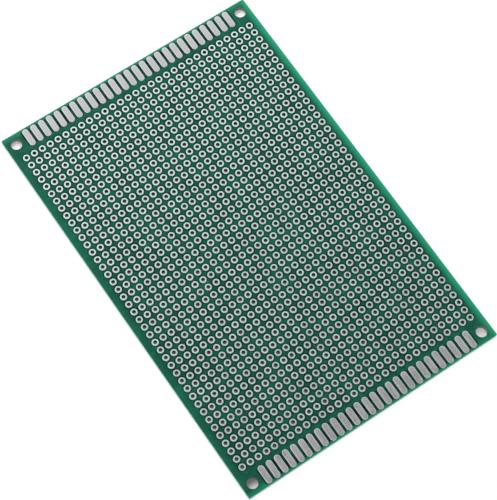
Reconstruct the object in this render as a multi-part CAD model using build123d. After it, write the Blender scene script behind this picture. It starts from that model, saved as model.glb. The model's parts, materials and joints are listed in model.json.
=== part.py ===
from build123d import *
import os
from math import dist

# Double-sided prototype board: a drilled glass-epoxy laminate with tinned plated holes on a fine square
# grid, a row of tinned edge contacts along each short edge of both faces, and a green solder mask on
# both faces. X runs along the short side, Y along the long side and Z up through the board. The origin
# is the centre of the underside.

# Driving dimensions, in millimetres
board_width = 80.0
board_length = 120.0
corner_radius = 0.3
laminate_thickness = 1.5
tin_thickness = 0.05  # tinned copper on each face; the mask is flush with it
mask_clearance = 0.075  # bare laminate between a tinned edge and the mask

pitch = 2.54
hole_diameter = 1.0  # inside the plating
plating_thickness = 0.05
pad_gap = 0.54  # between neighbouring pads
pad_edge_gap = 2.0  # least distance from a pad to a long edge

contact_gap = 0.74  # between neighbouring contacts
contact_length = 5.45
contact_edge_gap = 0.35  # from a contact's outer end to the short edge
contact_pad_gap = 0.8  # least distance from a contact's inner end to the first row of pads

mount_hole_diameter = 3.2
mount_hole_inset = 3.0  # from each edge to the hole's centre
mount_hole_land = 1.0  # least distance from a mounting hole to a pad or a contact

# Sizes and heights that follow
pad_diameter = pitch - pad_gap
contact_width = pitch - contact_gap
laminate_bottom = tin_thickness
laminate_top = laminate_bottom + laminate_thickness
board_top = laminate_top + tin_thickness

# Mounting holes sit in the corners
mount_x = board_width / 2 - mount_hole_inset
mount_y = board_length / 2 - mount_hole_inset
mount_places = [(x, y) for x in (-mount_x, mount_x) for y in (-mount_y, mount_y)]


def centred_places(span):
    """Places one pitch apart, as many as fit in the span, centred on zero."""
    count = int(span / pitch) + 1
    return [(number - (count - 1) / 2) * pitch for number in range(count)]


def clear_of_mounts(place):
    """Whether a pad at the place keeps its distance from the mounting holes."""
    least = mount_hole_diameter / 2 + mount_hole_land + pad_diameter / 2
    return all(dist(place, mount) >= least for mount in mount_places)


# Plated holes fill the face between the long edges and the two rows of contacts
end_margin = contact_edge_gap + contact_length + contact_pad_gap + pad_diameter / 2
hole_columns = centred_places(board_width - 2 * pad_edge_gap - pad_diameter)
hole_rows = centred_places(board_length - 2 * end_margin)
hole_places = [(x, y) for y in hole_rows for x in hole_columns if clear_of_mounts((x, y))]

# Contacts stand midway between the hole columns, clear of the mounting holes
contact_reach = mount_x - mount_hole_diameter / 2 - mount_hole_land - contact_width / 2
contact_columns = [x + pitch / 2 for x in hole_columns if abs(x + pitch / 2) <= contact_reach]
contact_y = board_length / 2 - contact_edge_gap - contact_length / 2
contact_ends = {"front": -contact_y, "back": contact_y}


def circle_wire(place, diameter):
    return Wire([Edge.make_circle(diameter / 2, Plane((*place, 0)))])


def contact_outline(place, margin=0.0):
    """A contact's round-ended outline, grown by the margin."""
    slot = SlotOverall(contact_length + 2 * margin, contact_width + 2 * margin, rotation=90)
    return Pos(*place) * slot


def perforated_sheet(openings, bottom, thickness):
    """A sheet of the board's outline, with the openings cut right through it."""
    outline = RectangleRounded(board_width, board_length, corner_radius).wire()
    sheet = Face(outline, openings)
    return Pos(0, 0, bottom) * extrude(sheet, thickness, dir=(0, 0, 1))


def laminate():
    drill_diameter = hole_diameter + 2 * plating_thickness
    openings = [circle_wire(place, drill_diameter) for place in hole_places]
    openings += [circle_wire(place, mount_hole_diameter) for place in mount_places]
    return perforated_sheet(openings, laminate_bottom, laminate_thickness)


def solder_mask(bottom):
    pad_opening = pad_diameter + 2 * mask_clearance
    mount_opening = mount_hole_diameter + 2 * mask_clearance
    openings = [circle_wire(place, pad_opening) for place in hole_places]
    openings += [circle_wire(place, mount_opening) for place in mount_places]
    for y in contact_ends.values():
        openings += [contact_outline((x, y), mask_clearance).wire() for x in contact_columns]
    return perforated_sheet(openings, bottom, tin_thickness)


def plated_hole():
    """One tinned copper barrel with a round pad on each face."""
    bore = hole_diameter / 2
    barrel = bore + plating_thickness
    pad = pad_diameter / 2
    section = Polyline(
        (bore, 0, 0),
        (pad, 0, 0),
        (pad, 0, laminate_bottom),
        (barrel, 0, laminate_bottom),
        (barrel, 0, laminate_top),
        (pad, 0, laminate_top),
        (pad, 0, board_top),
        (bore, 0, board_top),
        close=True,
    )
    return revolve(Face(Wire(section.edges())), Axis.Z)


def hole_plating():
    hole = plated_hole().solid()
    return Compound([Pos(*place) * hole for place in hole_places])


def edge_contacts(y, bottom):
    contact = extrude(contact_outline((0, 0)), tin_thickness).solid()
    return Compound([Pos(x, y, bottom) * contact for x in contact_columns])


pieces = {
    "laminate": laminate(),
    "solder_mask_top": solder_mask(laminate_top),
    "solder_mask_bottom": solder_mask(0),
    "hole_plating": hole_plating(),
}
for end, y in contact_ends.items():
    pieces[f"edge_contacts_top_{end}"] = edge_contacts(y, laminate_top)
    pieces[f"edge_contacts_bottom_{end}"] = edge_contacts(y, 0)

os.makedirs("parts", exist_ok=True)
for name, piece in pieces.items():
    export_step(piece, f"parts/{name}.step", write_pcurves=False)
print(len(hole_columns), "columns,", len(hole_rows), "rows,", len(contact_columns), "contacts an end")
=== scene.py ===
import json
import math
import bpy
import bmesh
from mathutils import Matrix, Vector


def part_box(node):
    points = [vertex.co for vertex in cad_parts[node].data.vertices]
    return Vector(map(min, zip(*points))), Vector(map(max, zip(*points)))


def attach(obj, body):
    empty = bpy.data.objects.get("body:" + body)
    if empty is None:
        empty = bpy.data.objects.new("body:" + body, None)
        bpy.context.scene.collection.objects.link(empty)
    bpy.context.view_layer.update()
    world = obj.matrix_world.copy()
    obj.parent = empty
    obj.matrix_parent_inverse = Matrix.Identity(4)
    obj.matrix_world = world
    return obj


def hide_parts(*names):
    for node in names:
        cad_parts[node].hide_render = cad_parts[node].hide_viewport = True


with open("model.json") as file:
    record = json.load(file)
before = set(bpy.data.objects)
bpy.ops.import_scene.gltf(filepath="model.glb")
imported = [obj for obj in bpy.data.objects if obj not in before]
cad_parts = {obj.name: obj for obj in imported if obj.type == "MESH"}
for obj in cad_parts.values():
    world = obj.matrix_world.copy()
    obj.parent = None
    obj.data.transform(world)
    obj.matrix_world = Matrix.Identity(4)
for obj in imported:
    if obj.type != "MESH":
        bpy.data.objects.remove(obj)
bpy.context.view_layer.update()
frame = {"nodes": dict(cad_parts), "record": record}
mm = 0.001
scene = bpy.context.scene
coreLow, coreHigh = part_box("laminate")          # the glass-epoxy core
tinLow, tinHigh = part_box("hole_plating")        # pads and barrels, both faces
contactLow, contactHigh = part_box("edge_contacts_top_back")
print("frame loaded:", len(frame["nodes"]), "nodes")


# shader maths

class Flow:                                     # one shader socket: maths on it adds nodes
    def __init__(self, tree, socket=None):
        self.tree = tree
        self.socket = socket

    def node(self, kind, settings=None, inputs=None, out=0):
        made = self.tree.nodes.new("ShaderNode" + kind)
        for name, value in (settings or {}).items():
            setattr(made, name, value)
        for name, value in (inputs or {}).items():
            if isinstance(value, Flow):
                self.tree.links.new(value.socket, made.inputs[name])
            else:
                made.inputs[name].default_value = value
        return Flow(self.tree, made.outputs[out] if made.outputs else None)

    def maths(self, operation, *values):
        return self.node("Math", {"operation": operation}, dict(enumerate(values)))

    def __add__(self, other):
        return self.maths("ADD", self, other)

    def __sub__(self, other):
        return self.maths("SUBTRACT", self, other)

    def __rsub__(self, other):
        return self.maths("SUBTRACT", other, self)

    def __mul__(self, other):
        return self.maths("MULTIPLY", self, other)

    def __truediv__(self, other):
        return self.maths("DIVIDE", self, other)

    def __abs__(self):
        return self.maths("ABSOLUTE", self)

    __radd__ = __add__
    __rmul__ = __mul__

    def larger(self, other):
        return self.maths("MAXIMUM", self, other)

    def ramp(self, start, end):                 # 0 at start, 1 at end, eased
        settings = {"interpolation_type": "SMOOTHSTEP"}
        return self.node("MapRange", settings, {"Value": self, "From Min": start, "From Max": end})

    def fade(self, start, end):                 # 1 at start, 0 at end, eased
        return 1 - self.ramp(start, end)

    def tint(self, first, second):              # first where this is 0, second where it is 1
        return self.node("Mix", {"data_type": "RGBA"}, {0: self, 6: first, 7: second}, out=2)


def paint(red, green, blue):                    # a colour as a paint chart gives it, 0 to 255
    chart = [part / 255 for part in (red, green, blue)]
    linear = [part / 12.92 if part < 0.04045 else ((part + 0.055) / 1.055) ** 2.4 for part in chart]
    return (*linear, 1.0)


def grey(level):
    return (level, level, level, 1.0)


def newFinish(name):
    material = bpy.data.materials.new(name)
    material.use_nodes = True
    material.node_tree.nodes.clear()
    return material, Flow(material.node_tree)


def coat(flow, varying, fixed):                 # the surface: varying values are linked, fixed ones are set
    surface = flow.node("BsdfPrincipled", None, {**varying, **fixed})
    flow.node("OutputMaterial", None, {"Surface": surface})


def places(flow):                               # a spot on the board, and its x, y and z, in millimetres
    spot = flow.node("TexCoord", out="Object")
    spot = flow.node("VectorMath", {"operation": "SCALE"}, {0: spot, "Scale": 1 / mm})
    return spot, [flow.node("SeparateXYZ", None, {0: spot}, out=axis) for axis in "XYZ"]


def noise(flow, spot, scale, detail, **more):
    return flow.node("TexNoise", None, {"Vector": spot, "Scale": scale, "Detail": detail, **more})


def relief(flow, height, strength, depth):
    return flow.node("Bump", None, {"Strength": strength, "Distance": depth, "Height": height})


# the grid that the pads, the contacts, the openings and the finishes share

grid = {
    "pitch": 2.54 * mm,
    "columns": 30,
    "rows": 42,
    "contacts": 27,                             # along each end of each face
    "sides": 12,                                # of each pad, barrel and opening
    "contactSides": 16,                         # of a contact's two round ends together
}
pitch = grid["pitch"]
firstPad = Vector(((1 - grid["columns"]) / 2 * pitch, (1 - grid["rows"]) / 2 * pitch, 0))
firstContact = (1 - grid["contacts"]) / 2 * pitch
padRadius = tinHigh.x + firstPad.x
contactRadius = contactHigh.x + firstContact
contactMiddle = (contactLow.y + contactHigh.y) / 2
contactReach = contactMiddle - contactLow.y - contactRadius   # half the length of its straight sides
mounting = next(mount for mount in frame["record"]["mounts"] if mount["kind"] == "bolt_pattern")["dims"]
mountX, mountY = mounting["spacing_x_mm"] / 2 * mm, mounting["spacing_y_mm"] / 2 * mm
mountRadius = mounting["hole_r_mm"] * mm


def padDistance(flow, x, y):                    # from the middle of the nearest pad, in millimetres
    half = pitch / mm / 2
    dx = half - flow.maths("PINGPONG", x, half)
    dy = half - flow.maths("PINGPONG", y, half)
    return flow.maths("SQRT", dx * dx + dy * dy)


def contactEnd(y):                              # how far past a contact's straight sides, in millimetres
    past = abs(abs(y) - contactMiddle / mm) - contactReach / mm
    return past.larger(0.0)


def contactDistance(flow, x, y):                # from the rim of the nearest contact, in millimetres
    dx = flow.maths("PINGPONG", x, pitch / mm / 2)
    dy = contactEnd(y)
    return flow.maths("SQRT", dx * dx + dy * dy) - contactRadius / mm


# shapes

def newPiece(name, bm, material, slot, *nodes):
    mesh = bpy.data.meshes.new(name)
    bm.to_mesh(mesh)
    bm.free()
    mesh.materials.append(material)
    piece = bpy.data.objects.new(name, mesh)
    scene.collection.objects.link(piece)
    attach(piece, "root")
    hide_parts(*nodes)
    print(name, len(mesh.polygons), "faces")


def vertsOf(geometry):
    return [part for part in geometry if isinstance(part, bmesh.types.BMVert)]


def repeat(bm, step, count):                    # copies of all that is in the mesh, one step apart
    first = bm.verts[:] + bm.edges[:] + bm.faces[:]
    for number in range(1, count):
        copy = bmesh.ops.duplicate(bm, geom=first)["geom"]
        bmesh.ops.translate(bm, verts=vertsOf(copy), vec=Vector(step) * number)


def upsideDown(bm):                             # the same shape on the underside of the board
    middle = (tinLow.z + tinHigh.z) / 2
    turn = Matrix.Rotation(math.pi, 4, "Y")
    bmesh.ops.transform(bm, matrix=turn, verts=bm.verts, space=Matrix.Translation((0, 0, -middle)))


def ring(bm, place, radius, sides, capped=False):   # a round outline, with flats along the board's sides
    turned = Matrix.Translation(place) @ Matrix.Rotation(math.pi / sides, 4, "Z")
    return bmesh.ops.create_circle(bm, cap_ends=capped, segments=sides, radius=radius, matrix=turned)["verts"]


def contactOutline(bm, place, grown=0.0, capped=False):   # two straight sides and two round ends
    for vert in ring(bm, place, contactRadius + grown, grid["contactSides"], capped):
        vert.co.y += math.copysign(contactReach, vert.co.y - place.y)


def drilledSheet(bottom, top, padHole, mountHole, contactGrown=None):   # the whole board's outline
    sheet = {
        "corner": 0.3 * mm,
        "cornerSides": 16,                      # of the four corners together
        "mountSides": 48,
        "sideCuts": 46,
    }
    bm = bmesh.new()
    for column in range(grid["columns"]):       # an opening for each pad
        for row in range(grid["rows"]):
            place = firstPad + Vector((column * pitch, row * pitch, bottom))
            ring(bm, place, padHole, grid["sides"])
    for end in (-1, 1):
        for side in (-1, 1):                    # for each mounting hole
            ring(bm, (side * mountX, end * mountY, bottom), mountHole, sheet["mountSides"])
        if contactGrown is not None:            # and for each contact
            for number in range(grid["contacts"]):
                place = Vector((firstContact + number * pitch, end * contactMiddle, bottom))
                contactOutline(bm, place, contactGrown)
    reach = sheet["corner"] * math.cos(math.pi / sheet["cornerSides"])   # of the ring's flats
    for vert in ring(bm, (0, 0, bottom), sheet["corner"], sheet["cornerSides"]):   # the outline itself
        vert.co.x += math.copysign(coreHigh.x - reach, vert.co.x)
        vert.co.y += math.copysign(coreHigh.y - reach, vert.co.y)
    sides = [edge for edge in bm.edges if edge.calc_length() > coreHigh.x]
    bmesh.ops.bisect_edges(bm, edges=sides, cuts=sheet["sideCuts"])   # so that no face is a long sliver
    bmesh.ops.triangle_fill(bm, use_beauty=True, use_dissolve=False, edges=bm.edges)
    raised = bmesh.ops.extrude_face_region(bm, geom=bm.faces[:])["geom"]
    bmesh.ops.translate(bm, verts=vertsOf(raised), vec=(0, 0, top - bottom))
    bmesh.ops.recalc_face_normals(bm, faces=bm.faces)
    return bm


# green solder mask

def maskFinish():
    look = {
        "green": paint(17, 67, 54),
        "shade": paint(3, 20, 18),              # painted shade close round the tin
        "paleGreenAndPaintedGlow": paint(30, 132, 97),             # painted light near the sawn edges; the pale patches take this colour too
        "roundPads": (1.05, 1.5),               # full shade and none, in millimetres from a pad's middle
        "roundContacts": (0.36, 0.9),           # from a contact's rim
        "pastContacts": (0.1, 0.9),             # and past its straight sides
        "shadeDepth": 0.95,
        "fieldEdge": 0.2,                       # over which the shade ends beside the outermost tin
        "rightPaintedGlow": (2.4, 1.0),                # painted light: width in millimetres, strength; strongest on the right, where more light fell
        "leftPaintedGlow": (2.2, 0.12),
        "endPaintedGlow": (2.2, 0.55),
        "clouds": (0.22, (0.35, 0.7), 0.12),    # scale, limits, strength
        "mottle": (0.9, (0.48, 0.72), 0.14),
        "cloudDetail": 4.0,
        "grainScale": 3.1,
        "grainDetail": 3.0,
        "rough": (0.30, 0.14),                  # least, and what the grain adds
        "relief": (0.12, 0.02 * mm),
        "gloss": 0.06,
    }
    material, flow = newFinish("greenMask")
    spot, (x, y, z) = places(flow)
    across, along = abs(x), abs(y)

    def within(distance, count):                # 1 in the middle, 0 beyond so many pitches
        edge = count * pitch / mm / 2
        return distance.fade(edge, edge + look["fieldEdge"])

    padRows = within(along, grid["rows"])
    # painted shade round the pads and between the contacts
    nearPad = padDistance(flow, x, y).fade(*look["roundPads"])
    nearPad = nearPad * padRows * within(across, grid["columns"])
    nearContact = contactDistance(flow, x, y).fade(*look["roundContacts"])
    nearContact = nearContact * contactEnd(y).fade(*look["pastContacts"])
    nearContact = nearContact * (1 - padRows) * within(across, grid["contacts"])

    def paintedEdgeLight(gap, name):
        width, strength = look[name]
        return gap.fade(0.0, width) * strength

    # painted light along the sawn edges, strongest on the right
    bright = paintedEdgeLight(coreHigh.x / mm - x, "rightPaintedGlow")
    bright = bright.larger(paintedEdgeLight(x - coreLow.x / mm, "leftPaintedGlow"))
    bright = bright.larger(paintedEdgeLight(coreHigh.y / mm - along, "endPaintedGlow"))

    def patches(name):
        scale, limits, strength = look[name]
        return noise(flow, spot, scale, look["cloudDetail"]).ramp(*limits) * strength

    colour = bright.tint(look["green"], look["paleGreenAndPaintedGlow"])
    # the painted shade darkens the colour round the tin
    colour = ((nearPad + nearContact) * look["shadeDepth"]).tint(colour, look["shade"])
    colour = (patches("clouds") + patches("mottle")).tint(colour, look["paleGreenAndPaintedGlow"])
    grain = noise(flow, spot, look["grainScale"], look["grainDetail"])
    least, added = look["rough"]
    varying = {
        "Base Color": colour,
        "Roughness": least + grain * added,
        "Normal": relief(flow, grain, *look["relief"]),
    }
    coat(flow, varying, {"Specular IOR Level": look["gloss"]})
    return material


def maskSheet(under):
    film = {"height": 0.034 * mm, "clearance": 0.075 * mm}   # the bare slit round the tin and the holes
    slit = film["clearance"]
    bm = drilledSheet(coreHigh.z, coreHigh.z + film["height"], padRadius + slit, mountRadius + slit, slit)
    if under:
        upsideDown(bm)
    return bm


greenMask = maskFinish()
newPiece("maskTop", maskSheet(False), greenMask, "solder_mask", "solder_mask_top")
newPiece("maskBottom", maskSheet(True), greenMask, "solder_mask", "solder_mask_bottom")
print("mask done")


# tin: plated holes and edge contacts

def tinFinish(name, tones, distance):
    look = {
        "skinScale": 2.3,
        "skinDetail": 5.0,
        "skinRough": 0.6,
        "skinLimits": (0.3, 0.75),
        "brighter": (0.35, 0.25),               # by the skin, and by chance from one place to the next
        "rough": (0.20, 0.10, 0.06),            # least, and what the skin and chance add
        "relief": (0.25, 0.02 * mm),
    }
    material, flow = newFinish(name)
    spot, (x, y, z) = places(flow)
    cell = [flow.maths("FLOOR", part / (pitch / mm)) for part in (x, y)]
    cell = flow.node("CombineXYZ", None, {"X": cell[0], "Y": cell[1]})
    chance = flow.node("TexWhiteNoise", {"noise_dimensions": "3D"}, {"Vector": cell}, out="Value")
    skin = noise(flow, spot, look["skinScale"], look["skinDetail"], Roughness=look["skinRough"])
    bySkin, byChance = look["brighter"]
    bright = skin.ramp(*look["skinLimits"]) * bySkin + chance * byChance
    colour = bright.tint(tones["dull"], tones["bright"])
    for tone, limits in tones["edges"]:         # tones that follow the outline, by distance
        colour = distance(flow, x, y).ramp(*limits).tint(colour, tone)
    least, bySkin, byChance = look["rough"]
    varying = {
        "Base Color": colour,
        "Roughness": least + skin * bySkin + chance * byChance,
        "Normal": relief(flow, skin, *look["relief"]),
    }
    coat(flow, varying, {"Metallic": 1.0})
    return material


padTin = tinFinish("padTin", {
    "dull": paint(222, 244, 241),
    "bright": paint(236, 254, 252),
    "edges": [
        (paint(120, 142, 134), (0.92, 1.04)),   # painted shade where the tin slopes down to its edge
        (paint(74, 52, 60), (0.58, 0.49)),      # the bore, with painted shade
    ],
}, padDistance)

contactTin = tinFinish("contactTin", {
    "dull": paint(202, 200, 205),
    "bright": paint(216, 214, 219),
    "edges": [
        (paint(218, 226, 225), (-0.40, -0.16)),   # a paler rim
        (paint(130, 140, 138), (-0.12, 0.02)),    # and its edge
    ],
}, contactDistance)


def platedHole():                               # a barrel with a pad on both faces
    hole = {
        "bore": 0.5 * mm,
        "plating": 0.05 * mm,                   # the barrel's wall
        "crown": 0.76 * mm,                     # radius of the highest ring of the tin
        "shoulder": 0.04 * mm,
        "shoulderDrop": 0.010 * mm,
        "lipDrop": 0.018 * mm,
        "crisp": math.radians(30),
    }
    upper = [                                   # radius and height, from the barrel round to the bore
        (hole["bore"] + hole["plating"], coreHigh.z),
        (padRadius, coreHigh.z),
        (padRadius - hole["shoulder"], tinHigh.z - hole["shoulderDrop"]),
        (hole["crown"], tinHigh.z),
        (hole["bore"], tinHigh.z - hole["lipDrop"]),
    ]
    lower = [(radius, tinLow.z + tinHigh.z - height) for radius, height in reversed(upper)]
    bm = bmesh.new()
    row = [bm.verts.new((radius, 0, height)) for radius, height in upper + lower]
    edges = [bm.edges.new(pair) for pair in zip(row, row[1:] + row[:1])]
    bmesh.ops.spin(
        bm, geom=row + edges, cent=(0, 0, 0), axis=(0, 0, 1), angle=2 * math.pi,
        steps=grid["sides"], use_merge=True,
    )
    turn = Matrix.Rotation(math.pi / grid["sides"], 3, "Z")   # flats in line with the openings'
    bmesh.ops.rotate(bm, verts=bm.verts, cent=(0, 0, 0), matrix=turn)
    bmesh.ops.recalc_face_normals(bm, faces=bm.faces)
    for face in bm.faces:
        face.smooth = True
    for edge in bm.edges:                       # the lip of the bore and the pad's edge stay crisp
        edge.smooth = edge.calc_face_angle(0.0) < hole["crisp"]
    return bm


def platedHoles(end):                           # from the middle of the board to one end
    bm = platedHole()
    bmesh.ops.translate(bm, verts=bm.verts, vec=(firstPad.x, end * pitch / 2, 0))
    repeat(bm, (pitch, 0, 0), grid["columns"])
    repeat(bm, (0, end * pitch, 0), grid["rows"] // 2)
    return bm


def contacts(end, under):
    strip = {
        "skirt": 0.036 * mm,                    # height of its upright edge
        "rim": 0.1 * mm,
        "rimRise": 0.01 * mm,
        "crown": 0.3 * mm,
        "crownRise": 0.004 * mm,
    }
    bm = bmesh.new()
    contactOutline(bm, Vector((0, end * contactMiddle, coreHigh.z)), capped=True)
    top = bmesh.ops.extrude_face_region(bm, geom=bm.faces[:])["geom"]
    bmesh.ops.translate(bm, verts=vertsOf(top), vec=(0, 0, strip["skirt"]))
    cap = [part for part in top if isinstance(part, bmesh.types.BMFace)]
    bmesh.ops.inset_region(bm, faces=cap, thickness=strip["rim"], depth=strip["rimRise"])
    bmesh.ops.inset_region(bm, faces=cap, thickness=strip["crown"], depth=strip["crownRise"])
    bmesh.ops.recalc_face_normals(bm, faces=bm.faces)
    for face in bm.faces:
        face.smooth = True
    if under:
        upsideDown(bm)
    bmesh.ops.translate(bm, verts=bm.verts, vec=(firstContact, 0, 0))
    repeat(bm, (pitch, 0, 0), grid["contacts"])
    return bm


for place, end in (("Front", -1), ("Back", 1)):
    newPiece("platedHoles" + place, platedHoles(end), padTin, "tin", "hole_plating")
    for face, under in (("Top", False), ("Bottom", True)):
        node = "edge_contacts_" + face.lower() + "_" + place.lower()
        newPiece("contacts" + face + place, contacts(end, under), contactTin, "tin", node)
print("tin done")


# glass-epoxy core

def coreFinish():
    look = {
        "resin": paint(140, 186, 168),
        "glass": paint(178, 214, 201),
        "drilled": paint(118, 121, 114),        # the walls of the holes: darker drilled glass-epoxy, with painted shade
        "face": paint(10, 46, 38),              # painted shade in the slits between mask and tin, where the core's face shows
        "layer": 0.1,                           # of glass, in millimetres
        "layerLimits": (0.02, 0.08),
        "strandScale": 4.0,
        "strandDetail": 3.0,
        "strandLimits": (0.35, 0.65),
        "sawnDepth": (0.2, 0.4),                # how far in the sawn edge's colour goes
        "faceDepth": (0.015, 0.002),
        "rough": (0.55, 0.2),                   # least, and what the strands add
        "relief": (0.3, 0.04 * mm),
    }
    material, flow = newFinish("glassEpoxy")
    spot, (x, y, z) = places(flow)
    layers = flow.maths("PINGPONG", z, look["layer"]).ramp(*look["layerLimits"])
    strands = noise(flow, spot, look["strandScale"], look["strandDetail"])
    inside = flow.maths("MINIMUM", coreHigh.x / mm - abs(x), coreHigh.y / mm - abs(y))
    middle, half = (coreHigh.z + coreLow.z) / 2 / mm, (coreHigh.z - coreLow.z) / 2 / mm
    deep = half - abs(z - middle)               # below the nearer face
    colour = (layers * strands.ramp(*look["strandLimits"])).tint(look["resin"], look["glass"])
    # painted shade on the walls of the holes
    colour = inside.ramp(*look["sawnDepth"]).tint(colour, look["drilled"])
    colour = deep.ramp(*look["faceDepth"]).tint(colour, look["face"])
    least, added = look["rough"]
    varying = {
        "Base Color": colour,
        "Roughness": least + strands * added,
        "Normal": relief(flow, strands, *look["relief"]),
    }
    coat(flow, varying, {})
    return material


def coreSheet():
    core = {"drill": 0.55 * mm}                 # radius, outside the barrel's plating
    return drilledSheet(coreLow.z, coreHigh.z, core["drill"], mountRadius)


newPiece("core", coreSheet(), coreFinish(), "laminate", "laminate")
print("pieces done")


# stage

def floorFinish():
    look = {
        "paper": paint(236, 236, 236),
        "paintedShadowFront": paint(112, 108, 112),     # painted shadow under the board, seen through the plated holes
        "paintedShadowBack": paint(222, 212, 220),
        "frontToBack": (-30.0, 60.0),
        "rim": 0.8,                             # in millimetres: under it the floor has painted shadow
        "padShade": (53.0, 55.5),               # along the board, full painted shadow and none
        "cornerX": (-34.0, -30.0),              # in one corner the painted shadow goes further
        "cornerY": (-50.0, -40.0),
        "further": 3.0,
        "underBoard": 0.08,                     # what is left of the white there
        "white": 0.92,                          # off the board: the rest is paper, with the board's shadow
    }
    material, flow = newFinish("paleFloor")
    spot, (x, y, z) = places(flow)
    across, along = abs(x), abs(y)
    off = (across - coreHigh.x / mm).larger(along - coreHigh.y / mm)
    off = off.ramp(-look["rim"], 0.0)           # 1 off the board, 0 under it
    corner = x.fade(*look["cornerX"]) * y.fade(*look["cornerY"])
    # painted shadow on the floor under the board
    shaded = (1 - off) * (along - corner * look["further"]).fade(*look["padShade"])
    under = y.ramp(*look["frontToBack"]).tint(look["paintedShadowFront"], look["paintedShadowBack"])
    tone = shaded.tint(look["paper"], under)
    rays = [flow.node("LightPath", out=f"Is {kind} Ray") for kind in ("Camera", "Glossy", "Transmission")]
    seen = rays[0].larger(rays[1]).larger(rays[2])
    paper = flow.node("BsdfDiffuse", None, {"Color": tone})
    white = flow.node("Emission", None, {"Color": grey(1.0), "Strength": 1.0})
    clear = off.larger(look["underBoard"])
    mixed = flow.node("MixShader", None, {0: seen * clear * look["white"], 1: paper, 2: white})
    flow.node("OutputMaterial", None, {"Surface": mixed})
    return material


def buildFloor():
    floorSize = 3.0
    bm = bmesh.new()
    bmesh.ops.create_grid(bm, x_segments=1, y_segments=1, size=floorSize)
    mesh = bpy.data.meshes.new("floor")
    bm.to_mesh(mesh)
    bm.free()
    mesh.materials.append(floorFinish())
    floor = bpy.data.objects.new("floor", mesh)
    scene.collection.objects.link(floor)


def buildWorld():
    studio = {
        "sky": 0.34,
        "panels": 1.25,                         # a ring of white panels round the board
        "panelFoot": (20, 42),                  # degrees above the floor: where they begin and are full
        "overhead": (0.24, 0.0, 0.97),          # the middle of the dark opening above
        "panelTop": (79, 62),                   # degrees, by distance from that middle
        "horizon": (22, 8),                     # and the bright backdrop below them
    }
    world = bpy.data.worlds.new("studio")
    world.use_nodes = True
    world.node_tree.nodes.clear()
    flow = Flow(world.node_tree)
    seen = flow.node("LightPath", out="Is Camera Ray")
    way = flow.node("TexCoord", out="Generated")
    up = flow.node("SeparateXYZ", None, {0: way}, out="Z")
    aims = {0: way, 1: studio["overhead"]}
    over = flow.node("VectorMath", {"operation": "DOT_PRODUCT"}, aims, out="Value")

    def rise(height, name):
        return height.ramp(*[math.sin(math.radians(angle)) for angle in studio[name]])

    lit = (rise(over, "panelTop") * rise(up, "panelFoot")).larger(rise(up, "horizon"))
    sky = lit.tint(grey(studio["sky"]), grey(studio["panels"]))
    sky = seen.tint(sky, grey(1.0))
    light = flow.node("Background", None, {"Color": sky, "Strength": 1.0})
    flow.node("OutputWorld", None, {"Surface": light})
    scene.world = world


def placeLamps():
    lamps = {
        "keyLamp": {"place": (0.0, 0.20, 0.20), "aim": (0.0, 0.03, 0.0), "size": 0.16, "power": 0.48},
        "sideLamp": {"place": (0.40, 0.02, 0.27), "aim": (0.0, 0.0, 0.0), "size": 0.12, "power": 0.45},
        "edgeLamp": {"place": (-0.5, -0.05, 0.07), "aim": (-0.04, 0.0, 0.0), "size": 0.2, "power": 0.3},
    }
    for name, lamp in lamps.items():
        light = bpy.data.lights.new(name, "AREA")
        light.shape = "DISK"
        light.size = lamp["size"]
        light.energy = lamp["power"]
        holder = bpy.data.objects.new(name, light)
        holder.location = lamp["place"]
        holder.visible_glossy = False           # the tin shows the panels alone
        holder.visible_camera = False
        toward = Vector(lamp["aim"]) - Vector(lamp["place"])
        holder.rotation_euler = toward.to_track_quat("-Z", "Y").to_euler()
        scene.collection.objects.link(holder)


def placeCamera():
    shot = {
        "target": (-1.59 * mm, -3.54 * mm),     # where the middle of the frame meets the board's top
        "distance": 525.3 * mm,
        "azimuth": -40.47,
        "elevation": 68.88,
        "roll": 6.47,
        "lens": 140.69,
        "sensor": 36.0,
        "nearest": 10 * mm,
    }
    camera = bpy.data.cameras.new("camera")
    camera.lens = shot["lens"]
    camera.sensor_width = shot["sensor"]
    camera.clip_start = shot["nearest"]
    turn = (
        Matrix.Rotation(math.radians(shot["azimuth"]), 4, "Z")
        @ Matrix.Rotation(math.radians(90 - shot["elevation"]), 4, "X")
        @ Matrix.Rotation(math.radians(shot["roll"]), 4, "Z")
    )
    target = Matrix.Translation((*shot["target"], tinHigh.z))
    holder = bpy.data.objects.new("camera", camera)
    holder.matrix_world = target @ turn @ Matrix.Translation((0, 0, shot["distance"]))
    scene.collection.objects.link(holder)
    scene.camera = holder


buildFloor()
buildWorld()
placeLamps()
placeCamera()
scene.view_settings.view_transform = "Standard"
print("stage done")
